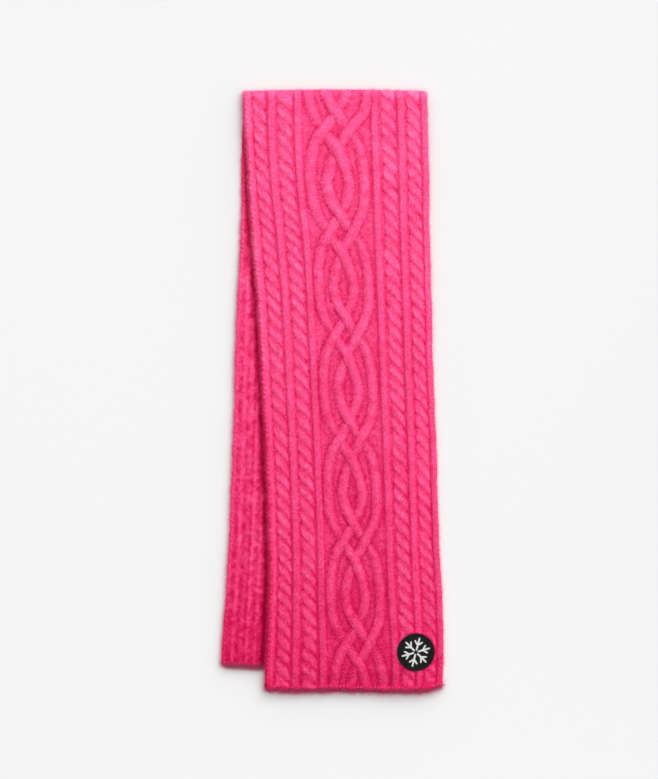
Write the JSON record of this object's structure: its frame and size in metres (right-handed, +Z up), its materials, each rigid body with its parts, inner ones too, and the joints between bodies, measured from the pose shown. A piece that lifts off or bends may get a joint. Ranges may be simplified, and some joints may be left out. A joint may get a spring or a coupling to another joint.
{
  "type": "knit scarf",
  "caption": "Cable-knit scarf folded in half and laid flat, with a central braid between rope cables and a plain round badge near one corner.",
  "frame": {"origin": "on the surface that the scarf lies on, under the middle of its whole outline", "axes": "+Y along the scarf from its hems to its fold, +X across it towards the side that the badge is on, +Z up from the surface"},
  "size_m": [0.3104, 0.8414, 0.0133],
  "materials": {
    "pink_knit": "soft brushed wool-blend knitting, bright pink, with a short fuzzy nap",
    "badge": "black woven badge, matt, with a plain white motif"
  },
  "bodies": {
    "root": {"front_leaf": "pink_knit", "back_leaf": "pink_knit", "badge": "badge"}
  },
  "joints": []
}
